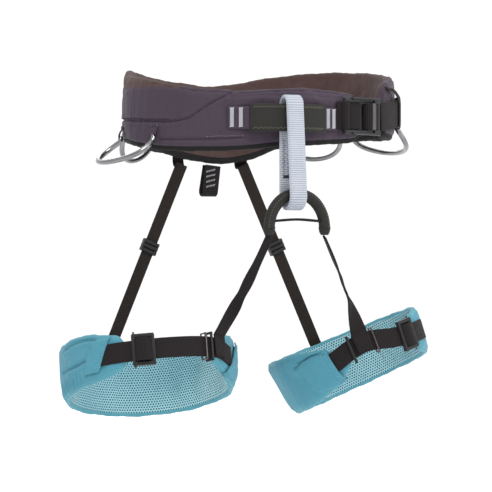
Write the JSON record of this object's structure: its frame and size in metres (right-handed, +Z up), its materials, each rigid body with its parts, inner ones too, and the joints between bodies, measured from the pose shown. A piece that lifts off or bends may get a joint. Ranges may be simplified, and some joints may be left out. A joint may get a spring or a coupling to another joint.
{
  "type": "climbing harness",
  "caption": "Padded climbing harness with a waist belt, belay loop, leg bridge, buckled leg loops, elastic rear straps, gear loops and a haul loop.",
  "frame": {"origin": "centre of the waist opening, at the height of the waist webbing", "axes": "+X towards the wearer's left, -Y towards the wearer's front, +Z up out of the waist opening"},
  "size_m": [0.3886, 0.2298, 0.3539],
  "materials": {
    "face_fabric": "plain woven nylon face with a soft sheen",
    "belt_mesh": "brushed knit lining",
    "foam": "closed-cell foam, hidden by its covers",
    "webbing": "flat woven nylon webbing",
    "binding": "folded edge tape",
    "sleeve_fabric": "hard-wearing woven cover",
    "light_thread": "bar-tack thread",
    "dark_thread": "bar-tack thread",
    "belay_webbing": "ribbed load webbing",
    "gear_rod": "smooth moulded plastic over cord",
    "buckle_metal": "black coated aluminium",
    "buckle_plastic": "black moulded plastic",
    "steel": "polished steel ring",
    "leg_fabric": "plain woven nylon face with a soft sheen",
    "leg_mesh": "open spacer mesh with hexagonal holes"
  },
  "bodies": {
    "waist_belt": {"belt_outer_shell": "face_fabric", "belt_foam_core": "foam", "belt_inner_lining": "belt_mesh", "belt_load_webbing": "webbing", "belt_bottom_binding": "binding", "belt_top_binding": "belt_mesh", "tie_in_webbing": "webbing", "tie_in_sleeve": "sleeve_fabric", "tie_in_bartacks": "light_thread", "gear_loop_anchor_tabs": "face_fabric", "elastic_anchor_tabs": "webbing", "waist_webbing_fixed": "webbing", "waist_webbing_adjusting": "webbing", "waist_strap_keeper": "webbing"},
    "waist_tail": {"waist_webbing_tail": "webbing"},
    "waist_buckle": {"waist_buckle_frame": "buckle_metal"},
    "waist_slide_bar": {"waist_buckle_slide_bar": "buckle_metal"},
    "belay_loop": {"belay_loop_webbing": "belay_webbing", "belay_loop_stitching": "dark_thread"},
    "leg_bridge": {"bridge_webbing_core": "webbing", "bridge_sleeve": "sleeve_fabric", "bridge_cross_strap": "webbing", "bridge_end_caps": "sleeve_fabric"},
    "gear_loop_front_left": {"gear_loop_front_left": "gear_rod"},
    "gear_loop_rear_left": {"gear_loop_rear_left": "gear_rod"},
    "gear_loop_front_right": {"gear_loop_front_right": "gear_rod"},
    "gear_loop_rear_right": {"gear_loop_rear_right": "gear_rod"},
    "haul_loop": {"haul_loop": "webbing"},
    "right_leg": {"right_leg_outer_shell": "leg_fabric", "right_leg_foam_pad": "foam", "right_leg_mesh_lining": "leg_mesh", "right_leg_edge_binding": "leg_fabric", "right_leg_webbing_fixed": "webbing", "right_leg_webbing_adjusting": "webbing", "right_leg_strap_keeper": "buckle_plastic", "right_leg_riser_ring": "steel", "right_riser_strap": "webbing", "right_elastic_strap": "webbing"},
    "right_leg_buckle": {"right_leg_buckle_frame": "buckle_plastic"},
    "right_leg_buckle_bar": {"right_leg_buckle_bar": "buckle_plastic"},
    "right_adjuster": {"right_elastic_adjuster": "buckle_plastic"},
    "left_leg": {"left_leg_outer_shell": "leg_fabric", "left_leg_foam_pad": "foam", "left_leg_mesh_lining": "leg_mesh", "left_leg_edge_binding": "leg_fabric", "left_leg_webbing_fixed": "webbing", "left_leg_webbing_adjusting": "webbing", "left_leg_strap_keeper": "buckle_plastic", "left_leg_riser_ring": "steel", "left_riser_strap": "webbing", "left_elastic_strap": "webbing"},
    "left_leg_buckle": {"left_leg_buckle_frame": "buckle_plastic"},
    "left_leg_buckle_bar": {"left_leg_buckle_bar": "buckle_plastic"},
    "left_adjuster": {"left_elastic_adjuster": "buckle_plastic"}
  },
  "joints": [
    {"name": "belay_loop_swing", "type": "hinge", "parent": "waist_belt", "child": "belay_loop", "pos_m": [0, -0.1105, 0.0073], "axis": [-1, 0, 0], "range_deg": [0, 5]},
    {"name": "leg_bridge_rock", "type": "hinge", "parent": "waist_belt", "child": "leg_bridge", "pos_m": [-0.005, -0.1145, -0.117], "axis": [1, 0, 0], "range_deg": [0, 11.25]},
    {"name": "right_leg_swing", "type": "hinge", "parent": "waist_belt", "child": "right_leg", "pos_m": [-0.0345, -0.1145, -0.1195], "axis": [-0.007, 0.9383, 0.3457], "range_deg": [-5, 25]},
    {"name": "right_adjuster_slide", "type": "slide", "parent": "right_leg", "child": "right_adjuster", "axis": [-0.388, 0.0073, -0.9216], "range_m": [-0.03, 0.05]},
    {"name": "right_leg_buckle_tilt", "type": "hinge", "parent": "right_leg", "child": "right_leg_buckle", "pos_m": [-0.15612, -0.07104, -0.22684], "axis": [-0.0335, -0.2756, -0.9607], "range_deg": [0, 14]},
    {"name": "right_leg_buckle_bar_slide", "type": "slide", "parent": "right_leg_buckle", "child": "right_leg_buckle_bar", "axis": [-0.9098, 0.4062, -0.0848], "range_m": [-0.002, 0.002]},
    {"name": "left_leg_swing", "type": "hinge", "parent": "waist_belt", "child": "left_leg", "pos_m": [0.0245, -0.1145, -0.1195], "axis": [-0.0449, -0.9395, -0.3395], "range_deg": [-5, 25]},
    {"name": "left_adjuster_slide", "type": "slide", "parent": "left_leg", "child": "left_adjuster", "axis": [0.4009, -0.028, -0.9157], "range_m": [-0.03, 0.05]},
    {"name": "left_leg_buckle_tilt", "type": "hinge", "parent": "left_leg", "child": "left_leg_buckle", "pos_m": [0.14734, -0.06666, -0.21408], "axis": [-0.3333, 0.225, 0.9156], "range_deg": [0, 14]},
    {"name": "left_leg_buckle_bar_slide", "type": "slide", "parent": "left_leg_buckle", "child": "left_leg_buckle_bar", "axis": [0.8842, 0.4118, 0.2206], "range_m": [-0.002, 0.002]},
    {"name": "gear_front_left_flap", "type": "hinge", "parent": "waist_belt", "child": "gear_loop_front_left", "pos_m": [0.14272, 0.00839, -0.009], "axis": [0.1217, -0.9926, 0], "range_deg": [0, 17]},
    {"name": "gear_rear_left_flap", "type": "hinge", "parent": "waist_belt", "child": "gear_loop_rear_left", "pos_m": [0.10481, 0.07493, -0.013], "axis": [0.8382, -0.5453, 0], "range_deg": [0, 55]},
    {"name": "gear_front_right_flap", "type": "hinge", "parent": "waist_belt", "child": "gear_loop_front_right", "pos_m": [-0.12749, -0.00959, -0.025], "axis": [-0.134, 0.991, 0], "range_deg": [0, 55]},
    {"name": "gear_rear_right_flap", "type": "hinge", "parent": "waist_belt", "child": "gear_loop_rear_right", "pos_m": [-0.09119, 0.07079, -0.014], "axis": [0.8057, 0.5923, 0], "range_deg": [0, 55]},
    {"name": "haul_loop_flap", "type": "hinge", "parent": "waist_belt", "child": "haul_loop", "pos_m": [-0.004, 0.096, -0.045], "axis": [1, 0, 0], "range_deg": [0, 45]},
    {"name": "waist_buckle_tilt", "type": "hinge", "parent": "waist_belt", "child": "waist_buckle", "pos_m": [0.05337, -0.10177, -0.00118], "axis": [0, 0, -1], "range_deg": [0, 14]},
    {"name": "waist_slide_bar_slide", "type": "slide", "parent": "waist_buckle", "child": "waist_slide_bar", "axis": [0.9419, 0.336, 0], "range_m": [-0.0015, 0.0015]},
    {"name": "waist_tail_flap", "type": "hinge", "parent": "waist_belt", "child": "waist_tail", "pos_m": [0.15319, -0.025, 0.007], "axis": [0, 0, -1], "range_deg": [0, 50]}
  ],
  "couplings": [
    {"joint": "leg_bridge_rock", "follows": "belay_loop_swing", "ratio": 2.25}
  ]
}
